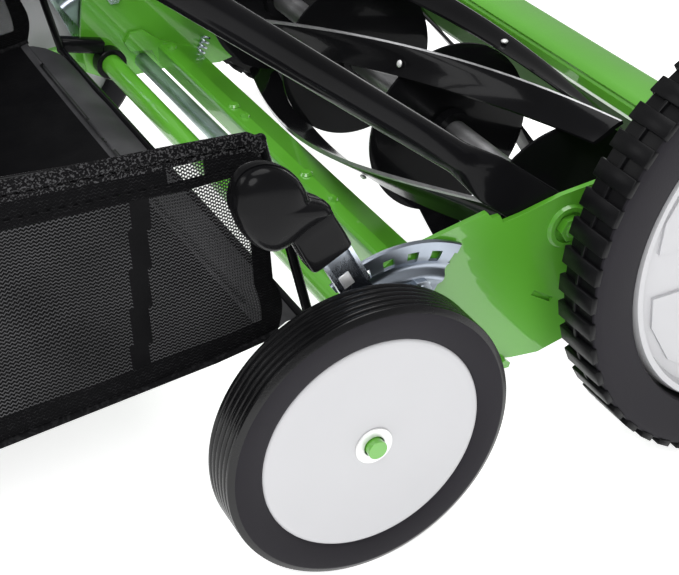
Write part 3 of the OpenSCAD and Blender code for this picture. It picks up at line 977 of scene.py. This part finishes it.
class MOWER_OT_rear_wheels(bpy.types.Operator):
    """Moulds the ribbed rear tyres, their discs and the plated washers"""

    bl_idname = "mower.rear_wheels"
    bl_label = "Rear wheels"

    DISC = [
        (0.0062, 0.2440), (0.0570, 0.2440), (0.0584, 0.2450), (0.0584, 0.2588), (0.0579, 0.2596),
        (0.0568, 0.2600), (0.0540, 0.2599), (0.0300, 0.2596), (0.0062, 0.2596),
    ]
    CAP = [
        (0.0056, 0.2597), (0.0098, 0.2597), (0.0100, 0.2600), (0.0097, 0.2606), (0.0060, 0.2609),
        (0.0056, 0.2607),
    ]
    INNER_WALL, OUTER_WALL = 3, 4  # edges of the outline on each side of the tread

    def tread(self):
        """Outline of the ribbed tyre, (radius, y) from the inner bead to the outer bead."""
        low, width, ribs = 0.2355, 0.025, 6
        high = low + width
        step = (width - 0.0016) / ribs
        outline = [
            (0.0582, low + 0.002), (0.0600, low + 0.0004), (0.0690, low), (0.0735, low + 0.0006)
        ]
        for k in range(ribs):
            a = low + 0.0008 + step * k
            outline += [
                (0.0744, a + 0.0002), (0.0757, a + 0.0009), (0.0760, a + step * 0.45),
                (0.0757, a + step - 0.0010), (0.0744, a + step - 0.0003),
            ]
        return outline + [
            (0.0726, high - 0.0002), (0.0718, high), (0.0600, high - 0.0002), (0.0582, high - 0.0016)
        ]

    def execute(self, context):
        tread = self.tread()
        last = len(tread) - self.OUTER_WALL
        marks = [0 if self.INNER_WALL <= i < last else 1 for i in range(len(tread))]
        for side, sign in SIDES:
            body = "rear_wheel_" + side
            for name, outline, slot, node, keys, zones, steps, angle in (
                ("rear_tyre_", tread, "tyre", "rear_tyre_", ["tread", "sidewall"], marks, 240, 42.0),
                ("rear_hub_", self.DISC, "hub_plastic", "rear_disc_", ["hub"], None, 240, 40.0),
                ("rear_cap_", self.CAP, "zinc", "rear_washer_", ["rivet"], None, 96, 40.0),
            ):
                turned = revolve(name + side, mirrored(outline, sign), REAR, keys, zones, steps, angle)
                belongs(turned, body, slot, node + side)
        return {"FINISHED"}


class MOWER_OT_height_lever(bpy.types.Operator):
    """Finishes the crank and shapes the levers, sleeves and thumb knobs"""

    bl_idname = "mower.height_lever"
    bl_label = "Height levers"

    LEAN = math.radians(117.0)
    # rim of the thumb knob: along the lever, across it (towards the rear and down), in metres
    RIM = (
        (0.1602, 0.0274), (0.1671, 0.0215), (0.1699, 0.0156), (0.1690, 0.0097), (0.1656, 0.0042),
        (0.1594, -0.0004), (0.1516, -0.0032), (0.1448, -0.0036), (0.1395, -0.0029), (0.1366, -0.0044),
        (0.1324, -0.0074), (0.1286, -0.0090), (0.1249, -0.0089), (0.1249, -0.0056), (0.1259, 0.0043),
        (0.1252, 0.0150), (0.1258, 0.0197), (0.1278, 0.0238), (0.1326, 0.0273), (0.1398, 0.0294),
        (0.1470, 0.0299), (0.1539, 0.0290),
    )

    def put(self, along, across, y):
        """A point in lever terms: along the lever, across it, and sideways."""
        c, s = math.cos(self.LEAN), math.sin(self.LEAN)
        return Vector((CRANK.x + along * c - across * s, y, CRANK.z + along * s + across * c))

    def rim_point(self, t):
        """The rim at t (0 to 1), on a smooth curve through its points."""
        count = len(self.RIM)
        at = t * count
        k, f = int(at) % count, at - int(at)
        pts = [self.RIM[(k + d) % count] for d in (-1, 0, 1, 2)]
        out = []
        for axis in (0, 1):
            a, b, c, d = (p[axis] for p in pts)
            out.append(0.5 * (
                2 * b + (c - a) * f + (2 * a - 5 * b + 4 * c - d) * f * f
                + (3 * b - a - 3 * c + d) * f * f * f
            ))
        return out

    def knob(self, name, sign, rings=16, around=88):
        """Two domed shells that meet at a thin flat rim."""
        heart = (0.1475, 0.0130)
        verts = []
        for top in (1, -1):
            for r in range(rings + 1):
                turn = 0.5 * math.pi * min(1.0, r / (rings - 1))
                wide = 1.0 if r == rings else 0.975 * math.sin(turn)
                h = 0.0011 + (0.0 if r == rings else 0.0105 * max(0.0, math.cos(turn)) ** 0.65)
                for k in range(around):
                    u, w = self.rim_point(k / around)
                    verts.append(self.put(
                        heart[0] + (u - heart[0]) * wide, heart[1] + (w - heart[1]) * wide,
                        sign * (0.2335 + top * h),
                    ))
        band = (rings + 1) * around
        faces = quads(rings + 1, around) + quads(rings + 1, around, first=band)
        for k in range(around):
            n = (k + 1) % around
            a = rings * around
            faces.append((a + k, a + n, band + a + n, band + a + k))
        return mesh_piece(name, verts, faces, ["plastic"])

    def sleeve(self, name, sign):
        """Boxy socket that grips the lever and runs into the knob."""
        stations = [
            (0.1040, 0.0100, 0.0060), (0.1044, 0.0108, 0.0068), (0.1056, 0.0113, 0.0072),
            (0.1150, 0.0112, 0.0074), (0.1235, 0.0110, 0.0078), (0.1265, 0.0112, 0.0080),
            (0.1300, 0.0106, 0.0070),
        ]
        square, aside, middle = 0.28, 0.0028, 0.2325
        return loft(name, [
            [
                self.put(
                    along, aside + wide * squarish(c, square),
                    sign * (middle + deep * squarish(d, square)),
                )
                for c, d in turns(40)
            ]
            for along, wide, deep in stations
        ], ["plastic"])

    def execute(self, context):
        refine("crank", "green", 0.0003)
        for side, sign in SIDES:
            refine("lever_" + side, "zinc", 0.0003)
            knob = self.knob("thumb_knob_" + side, sign)
            belongs(knob, "height_crank", "black_plastic", "knob_" + side)
            belongs(self.sleeve("lever_sleeve_" + side, sign), "height_crank", "black_plastic")
            tab = rounded_block("lever_tab_" + side, (0.0080, 0.0012, 0.0060), 0.0003, ["rivet"])
            placed(tab, (0.2034, sign * 0.2306, 0.1528), -self.LEAN)
            belongs(tab, "height_crank", "steel")
        return {"FINISHED"}


class MOWER_OT_handle(bpy.types.Operator):
    """Lofts the flattened lower bars and finishes the upper handle, grip and fold knobs"""

    bl_idname = "mower.handle"
    bl_label = "Handle"

    # distances from the pivot bolt up the bar at which it is shaped
    STATIONS = (
        -0.0124, -0.0121, -0.0112, -0.0095, -0.0070, -0.0035, 0.0, 0.02, 0.045, 0.052, 0.055,
        0.058, 0.061, 0.064, 0.067, 0.070, 0.073, 0.077, 0.082, 0.12, 0.25, 0.40,
    )

    def lower_bar(self, name, sign, length, rise):
        """A round tube whose foot is pressed flat and rounded off at the pivot."""
        tube, flat_w, flat_t, nose = 0.00825, 0.0124, 0.0018, 0.0125
        c, s = math.cos(rise), math.sin(rise)
        rings = []
        for t in (*self.STATIONS, length):
            m = min(1.0, max(0.0, (t - 0.053) / 0.026))
            m = m * m * (3 - 2 * m)
            half_w = flat_w * (1 - m) + tube * m
            if t < 0.0:
                half_w = math.sqrt(max(1e-8, nose ** 2 - t * t))
            half_t = flat_t * (1 - m) + tube * m
            power = 0.42 * (1 - m) + m
            y0 = 0.2068 * (1 - m) + 0.198 * m
            row = []
            for across, out in turns(64):
                u, v = half_w * squarish(across, power), half_t * squarish(out, power)
                row.append((HANDLE.x - t * c + u * s, sign * (y0 + v), HANDLE.z + t * s + u * c))
            rings.append(row)
        return loft(name, rings, ["black"])

    def execute(self, context):
        reach = FOLD - HANDLE
        rise = math.atan2(reach.z, -reach.x)
        for side, sign in SIDES:
            bar = self.lower_bar("handle_bar_" + side, sign, reach.length + 0.018, rise)
            belongs(bar, "lower_handle", "black_paint", "lower_bar_" + side)
            refine("fold_knob_" + side, "plastic", 0.0008)
        refine("upper_handle", "black")
        refine("grip", "foam", 0.002)
        return {"FINISHED"}


def chain(points, value):
    """Straight-line reading of a table of (where, what) pairs."""
    for (a, p), (b, q) in zip(points, points[1:]):
        if value <= b:
            return p + (q - p) * (value - a) / (b - a)
    return points[-1][1]


# catcher wall lines from the mouth (0) back (1): height and, near the mouth, where along X
TOP_LINE = (
    (0.0, 0.2118), (0.012, 0.2152), (0.03, 0.2184), (0.13, 0.2204), (0.29, 0.2223), (0.52, 0.2253),
    (1.0, 0.2330),
)
FOOT_LINE = ((0.0, 0.1100), (0.10, 0.1035), (0.40, 0.0910), (0.78, 0.0820), (1.0, 0.0780))


def bag_side(s, t, sign):
    """A point of a catcher side wall: s runs from the mouth back, t from the floor up."""
    low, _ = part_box("catcher_bag")
    back = low.x + 0.0060
    top_x = chain(((0.0, 0.1776), (0.03, 0.1718), (1.0, back)), s)
    foot_x = chain(((0.0, 0.1838), (0.03, 0.1780), (1.0, back)), s)
    top_z, foot_z = chain(TOP_LINE, s), chain(FOOT_LINE, s)
    bulge = 0.0036 * math.sin(math.pi * min(1.0, t / 0.3)) * max(0.0, 1 - s * 8)
    x = foot_x + (top_x - foot_x) * t + bulge
    z = foot_z + (top_z - foot_z) * t
    rim = math.sin(math.pi * t) ** 0.6 * min(1.0, s * 9.0) * min(1.0, (1 - s) * 9.0)
    crease = noise.noise(Vector((x * 14.0, z * 9.0, 3.0 + sign))) * 1.3
    crease += noise.noise(Vector(((x + z * 0.8) * 32.0, z * 6.0, 8.0 + sign))) * 0.5
    belly = -0.35 + 0.9 * math.sin(math.pi * s)
    lump = 0.0045 * math.exp(-((s - 0.62) / 0.10) ** 2 - ((t - 0.55) / 0.14) ** 2)
    y = 0.1965 + rim * sizes().mesh_fold * (crease - 0.35 * belly) + lump
    return Vector((x, sign * min(0.2050, y), z))


class MOWER_OT_catcher(bpy.types.Operator):
    """Sews the mesh catcher's side walls, floor and back, with their hems"""

    bl_idname = "mower.catcher"
    bl_label = "Grass catcher"

    def cloth(self, name, rows, flats, materials, marks=None):
        """A grid of points with its flat measure as a UV map."""
        high, wide = len(rows), len(rows[0])
        verts = [p for row in rows for p in row]
        mesh = bpy.data.meshes.new(name)
        mesh.from_pydata([tuple(v) for v in verts], [], quads(high, wide, closed=False))
        layer = mesh.uv_layers.new(name="flat")
        for face in mesh.polygons:
            face.use_smooth = True
            for loop in face.loop_indices:
                spot = mesh.loops[loop].vertex_index
                layer.data[loop].uv = flats[spot // wide][spot % wide]
        if marks:
            for face in mesh.polygons:
                i, j = divmod(face.index, wide - 1)
                face.material_index = marks(i / (high - 1), j / (wide - 1))
        mesh.update()
        return add_object(name, mesh, materials)

    @staticmethod
    def wall_zone(s, t):
        """Which cloth a spot of the wall is."""
        open_mesh, hem, roll, dark_band = range(4)
        if t > 0.93:
            return roll
        if t > 0.83:
            return open_mesh if 0.088 < s < 0.135 and t > 0.87 else hem
        if s < 0.040 or t < 0.10:
            return hem
        # A slanting band of the wall is closed, with no holes, and given the dark floor finish.
        dark_band_middle = 0.165 + 0.025 * (0.85 - t) / 0.7
        return dark_band if abs(s - dark_band_middle) < 0.012 else open_mesh

    def grid(self, name, point, n_s, n_t, size_s, size_t, materials, marks=None):
        rows = [[point(i / n_s, j / n_t) for j in range(n_t + 1)] for i in range(n_s + 1)]
        flats = [[(size_s * i / n_s, size_t * j / n_t) for j in range(n_t + 1)] for i in range(n_s + 1)]
        return self.cloth(name, rows, flats, materials, marks)

    def execute(self, context):
        low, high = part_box("catcher_bag")
        length = high.x - low.x
        for side, sign in SIDES:
            wall = self.grid(
                "mesh_wall_" + side, lambda s, t, g=sign: bag_side(s, t, g),
                170, 66, length, 0.125, ["mesh", "hem", "roll", "vinyl"], self.wall_zone,
            )
            belongs(wall, "catcher", "mesh")

        def floor_point(s, t):
            y = (2 * t - 1) * 0.1968
            edge = 0.028 / (length + 0.022)
            if s < edge:
                k = (1 - s / edge) * min(1.0, (0.1968 - abs(y)) / 0.018)
                x = 0.1790 + 0.0255 * k
                z = 0.1068 - 0.0058 * k + 0.0022 * math.sin(math.pi * k) * (0.4 + abs(2 * t - 1))
                return Vector((x, y, z + 0.0006 * noise.noise(Vector((y * 30.0, k, 2.0)))))
            base = bag_side((s - edge) / (1 - edge), 0.0, 1.0)
            far = min(1.0, (s - edge) * 9.0)
            sag = (0.003 + 0.004 * far) * math.sin(math.pi * t) ** 0.5
            ripple = 0.0028 * noise.noise(Vector((base.x * 16.0, y * 9.0, 1.0)))
            ripple *= math.sin(math.pi * t) * far
            return Vector((base.x, y, base.z - sag + ripple))

        floor = self.grid(
            "catcher_floor", floor_point, 130, 80, length + 0.022, 0.394, ["vinyl", "strip"],
            lambda s, t: 1 if s < 0.090 else 0,
        )
        belongs(floor, "catcher", "mesh", "catcher_bag")

        def back_point(s, t):
            y = (2 * s - 1) * 0.1965
            base = bag_side(1.0, t, 1.0)
            bow = 0.0035 * math.sin(math.pi * s) * math.sin(math.pi * t)
            crease = 0.003 * noise.noise(Vector((y * 9.0, base.z * 12.0, 5.0)))
            keep = math.sin(math.pi * t) * math.sin(math.pi * s)
            return Vector((base.x + bow + crease * keep, y, base.z))

        back = self.grid(
            "mesh_back", back_point, 110, 50, 0.393, 0.162, ["mesh", "hem"],
            lambda s, t: 1 if t > 0.88 or t < 0.04 else 0,
        )
        belongs(back, "catcher", "mesh")
        return {"FINISHED"}


class MOWER_OT_catcher_trim(bpy.types.Operator):
    """Adds the piping, stitches, wire and hooks of the catcher"""

    bl_idname = "mower.catcher_trim"
    bl_label = "Catcher trim"

    CLIP = [
        (0.0078, 0.1960), (0.0106, 0.1960), (0.0112, 0.1966), (0.0112, 0.2058), (0.0106, 0.2064),
        (0.0078, 0.2064),
    ]
    STITCH_ROWS = (0.87, 0.965)

    def execute(self, context):
        refine("catcher_frame", "black")
        for side, sign in SIDES:
            clip = revolve(
                "clip_ring_" + side, mirrored(self.CLIP, sign), CRANK, ["plastic"], None, 64, 40.0
            )
            belongs(clip, "catcher", "black_plastic", "hook_" + side)
            arm = rounded_block("clip_arm_" + side, (0.0330, 0.0096, 0.0100), 0.0016, ["plastic"])
            placed(arm, (0.2225, sign * 0.2012, 0.0975), math.radians(14.0))
            belongs(arm, "catcher", "black_plastic")
            for name, t, radius, key, sides in (
                ("top_piping_", 1.0, 0.0032, "roll", 12), ("floor_seam_", 0.0, 0.0018, "hem", 10),
            ):
                edge = [bag_side(s / 60, t, sign) for s in range(61)]
                belongs(tube_along(name + side, edge, radius, [key], sides), "catcher", "mesh")
            for k, t in enumerate(self.STITCH_ROWS):
                row = [
                    bag_side(0.02 + 0.96 * s / 90, t, sign) + Vector((0, sign * 0.0006, 0))
                    for s in range(91)
                ]
                thread = run_rule(line_piece(f"stitch_{side}_{k}", row), path_rule, {
                    "Gap": sizes().stitch_gap, "Length": 0.0019, "Thickness": 0.00045,
                    "Material": finish("plastic"),
                })
                belongs(thread, "catcher", "mesh")
        return {"FINISHED"}


# ---------------------------------------------------------------- studio


class MOWER_OT_stage(bpy.types.Operator):
    """Lays the pale floor and sets the soft light and the camera"""

    bl_idname = "mower.stage"
    bl_label = "Studio"

    def area(self, name, place, target, size, power):
        lamp = bpy.data.lights.new(name, "AREA")
        lamp.shape, lamp.size, lamp.energy = "DISK", size, power
        made = bpy.data.objects.new(name, lamp)
        bpy.context.scene.collection.objects.link(made)
        made.location = place
        made.rotation_euler = (Vector(target) - Vector(place)).to_track_quat("-Z", "Y").to_euler()

    def execute(self, context):
        scene = context.scene
        mesh = bpy.data.meshes.new("studio_floor")
        mesh.from_pydata([(-30, -30, 0), (30, -30, 0), (30, 30, 0), (-30, 30, 0)], [], [(0, 1, 2, 3)])
        add_object("studio_floor", mesh, ["floor"])
        sky = bpy.data.worlds.new("studio")
        scene.world = sky
        sky.use_nodes = True
        sky.node_tree.nodes["Background"].inputs["Color"].default_value = (1, 1, 1, 1)
        sky.node_tree.nodes["Background"].inputs["Strength"].default_value = 0.32
        aim = (REEL.x, -0.1, 0.1)
        self.area("key_light", (-0.7, -1.9, 2.1), aim, 1.8, 50)
        self.area("top_light", (0.8, 0.3, 2.6), aim, 2.2, 46)
        self.area("rim_light", (-1.9, 1.2, 1.8), aim, 1.4, 18)
        lens = bpy.data.cameras.new("camera")
        lens.lens, lens.sensor_width, lens.clip_start = 79.0, 36.0, 0.02
        camera = bpy.data.objects.new("camera", lens)
        scene.collection.objects.link(camera)
        camera.location = (DRIVE.x - 0.5114, -0.7413, 0.5263)
        camera.rotation_euler = (math.radians(90 - 33.10), 0.0, math.radians(62.15 - 90))
        scene.camera = camera
        scene.view_settings.view_transform = "Standard"
        return {"FINISHED"}


OPERATORS = (
    MOWER_OT_chassis, MOWER_OT_bed, MOWER_OT_springs, MOWER_OT_reel, MOWER_OT_drive_wheels,
    MOWER_OT_rear_wheels, MOWER_OT_height_lever, MOWER_OT_handle, MOWER_OT_catcher,
    MOWER_OT_catcher_trim, MOWER_OT_stage,
)


class MOWER_PT_panel(bpy.types.Panel):
    """Lists the mower's settings and pieces"""

    bl_idname = "MOWER_PT_panel"
    bl_label = "Reel Mower"
    bl_space_type = "VIEW_3D"
    bl_region_type = "UI"
    bl_category = "Mower"

    def draw(self, context):
        for group in (context.scene.mower_sizes, context.scene.mower_colours):
            for key in group.bl_rna.properties.keys():
                if key not in {"rna_type", "name"}:
                    self.layout.prop(group, key)
        for operator in OPERATORS:
            self.layout.operator(operator.bl_idname)


CLASSES = (MowerSizes, MowerColours, *OPERATORS, MOWER_PT_panel)


def register():
    for item in CLASSES:
        bpy.utils.register_class(item)
    bpy.types.Scene.mower_sizes = bpy.props.PointerProperty(type=MowerSizes)
    bpy.types.Scene.mower_colours = bpy.props.PointerProperty(type=MowerColours)


def unregister():
    del bpy.types.Scene.mower_colours
    del bpy.types.Scene.mower_sizes
    for item in reversed(CLASSES):
        bpy.utils.unregister_class(item)


def main():
    register()
    for operator in OPERATORS:
        group, name = operator.bl_idname.split(".")
        getattr(getattr(bpy.ops, group), name)()


if __name__ == "__main__":
    main()
